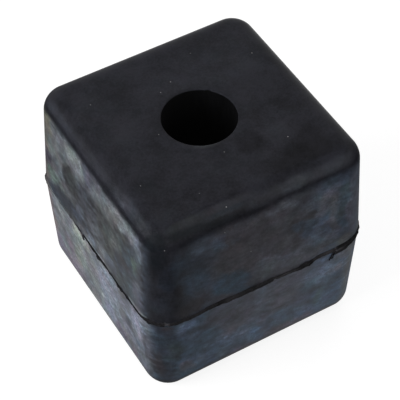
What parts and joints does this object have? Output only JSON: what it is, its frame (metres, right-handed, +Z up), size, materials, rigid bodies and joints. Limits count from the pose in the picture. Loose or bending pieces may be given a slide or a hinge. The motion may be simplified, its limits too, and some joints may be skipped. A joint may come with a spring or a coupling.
{
  "type": "rubber buffer",
  "caption": "Square compression-moulded rubber buffer block with rounded edges, tapered halves and a round bore through its height.",
  "frame": {"origin": "centre of the face it stands on, on the bore's axis", "axes": "+Z up along the bore, X and Y square to the side walls"},
  "size_m": [0.0808, 0.0808, 0.077],
  "materials": {
    "moulded_rubber": "matt moulded black rubber with a pale grey bloom on its side walls"
  },
  "bodies": {
    "root": {"buffer_block": "moulded_rubber"}
  },
  "joints": []
}
